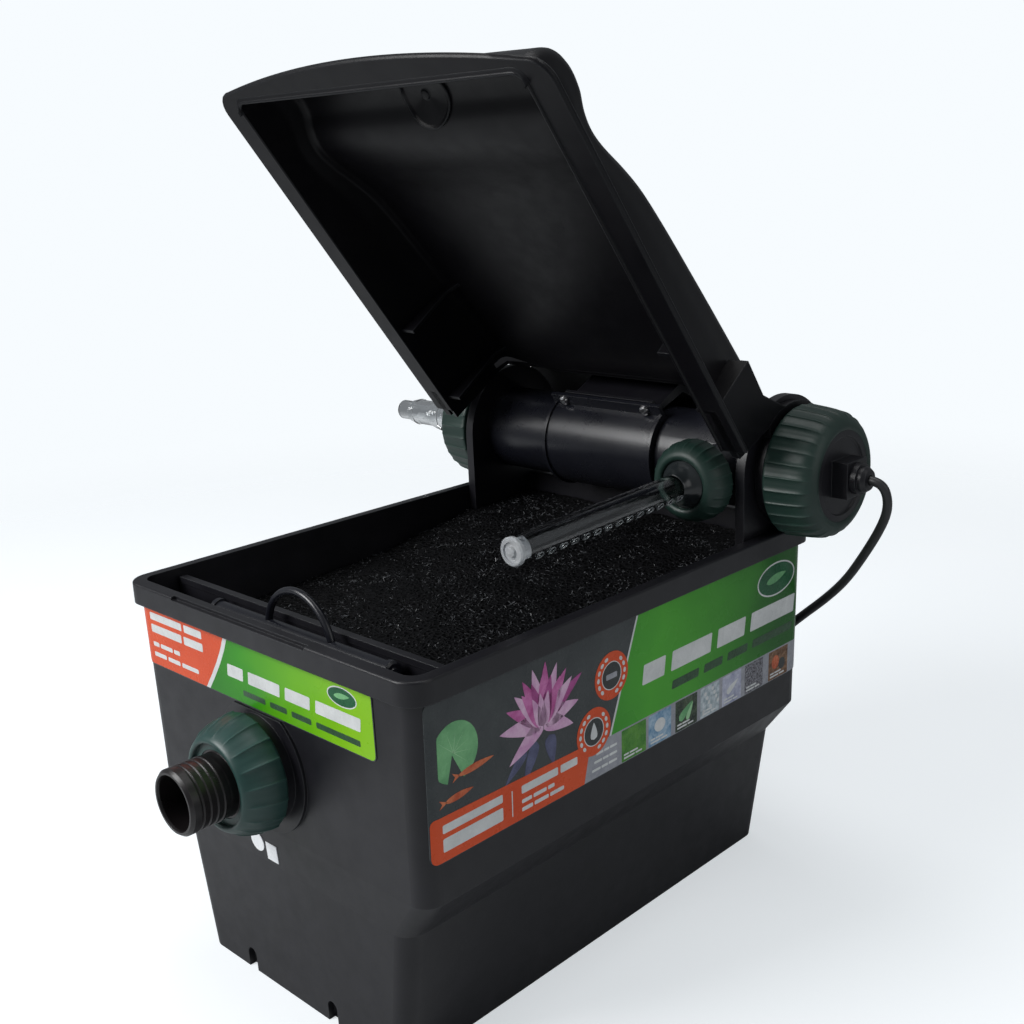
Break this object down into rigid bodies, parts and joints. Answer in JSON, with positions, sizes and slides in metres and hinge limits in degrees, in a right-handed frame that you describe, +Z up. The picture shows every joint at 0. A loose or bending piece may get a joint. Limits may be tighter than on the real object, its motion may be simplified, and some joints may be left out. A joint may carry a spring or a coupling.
{
  "type": "uv clarifier",
  "caption": "Pond filter tub with a hinged lid, foam, a lamp tube across the rear that carries a ribbed ring nut at each end, a spray bar, an outlet hosetail and a mains lead.",
  "frame": {"origin": "centre of the tub's base face, on the surface it stands on", "axes": "+Z up; -Y is the face with the outlet, +Y the rear with the lamp tube; +X the long side with the large label and the lamp's mains lead"},
  "size_m": [0.4693, 0.553, 0.5605],
  "materials": {
    "black_plastic": "moulded satin",
    "lid_plastic": "moulded satin",
    "tube_plastic": "smooth satin",
    "green_plastic": "moulded satin",
    "outlet_green": "moulded satin",
    "tail_plastic": "moulded satin",
    "clear_plastic": "clear moulded",
    "cap_plastic": "clear moulded, bright",
    "quartz": "polished",
    "lamp_glass": "polished",
    "white_plastic": "moulded",
    "resin": "potted",
    "rubber": "matt",
    "stainless": "satin",
    "brass": "satin",
    "foam": "open-cell foam",
    "foam_green": "open-cell foam",
    "foam_blue": "open-cell foam",
    "label": "printed film",
    "sticker": "printed film",
    "cable": "satin sheath",
    "plug_plastic": "moulded"
  },
  "bodies": {
    "tub": {"tub": "black_plastic", "uv_tube": "tube_plastic", "tube_bush_right": "black_plastic", "tube_bush_left": "black_plastic", "saddle_strap": "tube_plastic", "strap_screws": "stainless", "rear_bracket": "black_plastic", "bracket_screws": "stainless", "lamp_end_cap": "black_plastic", "lamp_end_seal": "rubber", "ballast": "resin", "sleeve_seal": "rubber", "quartz_sleeve": "quartz", "lamp_tubes": "lamp_glass", "lamp_base": "white_plastic", "lamp_holder": "white_plastic", "inlet_seal": "rubber", "inlet_hosetail": "clear_plastic", "spray_seal": "rubber", "outlet_washer": "rubber", "outlet_bulkhead": "black_plastic", "outlet_seal": "rubber", "outlet_hosetail": "tail_plastic", "divider_plate": "black_plastic", "strainer_bar": "tube_plastic", "strainer_bar_caps": "tube_plastic", "strainer_handle": "tube_plastic", "outlet_screen": "black_plastic", "foam_coarse": "foam", "foam_medium": "foam_green", "foam_fine": "foam_blue", "media_grid": "black_plastic", "bio_media": "white_plastic", "side_label": "label", "front_label": "label", "round_sticker": "sticker", "square_sticker": "sticker", "cable_gland": "black_plastic", "mains_cable": "cable", "cable_coil": "cable", "cable_tail": "cable", "plug_body": "plug_plastic", "plug_pins": "brass"},
    "lid": {"lid": "lid_plastic"},
    "lamp_ring_nut": {"lamp_ring_nut": "green_plastic"},
    "inlet_ring_nut": {"inlet_ring_nut": "green_plastic"},
    "spray_ring_nut": {"spray_ring_nut": "green_plastic"},
    "outlet_ring_nut": {"outlet_ring_nut": "outlet_green"},
    "spray_bar": {"spray_bar": "clear_plastic", "spray_bar_cap": "cap_plastic"}
  },
  "joints": [
    {"name": "lid_hinge", "type": "hinge", "parent": "tub", "child": "lid", "pos_m": [0, 0.164, 0.292], "axis": [1, 0, 0], "range_deg": [0, 53]},
    {"name": "lamp_ring_nut_turn", "type": "hinge", "parent": "tub", "child": "lamp_ring_nut", "pos_m": [0.16, 0.164, 0.292], "axis": [1, 0, 0], "continuous": true},
    {"name": "inlet_ring_nut_turn", "type": "hinge", "parent": "tub", "child": "inlet_ring_nut", "pos_m": [-0.16, 0.164, 0.292], "axis": [-1, 0, 0], "continuous": true},
    {"name": "spray_ring_nut_turn", "type": "hinge", "parent": "tub", "child": "spray_ring_nut", "pos_m": [0.096, 0.164, 0.292], "axis": [0.014, -0.9995, -0.0279], "continuous": true},
    {"name": "outlet_ring_nut_turn", "type": "hinge", "parent": "tub", "child": "outlet_ring_nut", "pos_m": [-0.007, -0.195, 0.161], "axis": [0, -1, 0], "continuous": true},
    {"name": "spray_bar_swivel", "type": "hinge", "parent": "tub", "child": "spray_bar", "pos_m": [0.096, 0.164, 0.292], "axis": [0.014, -0.9995, -0.0279], "range_deg": [-90, 90]}
  ]
}
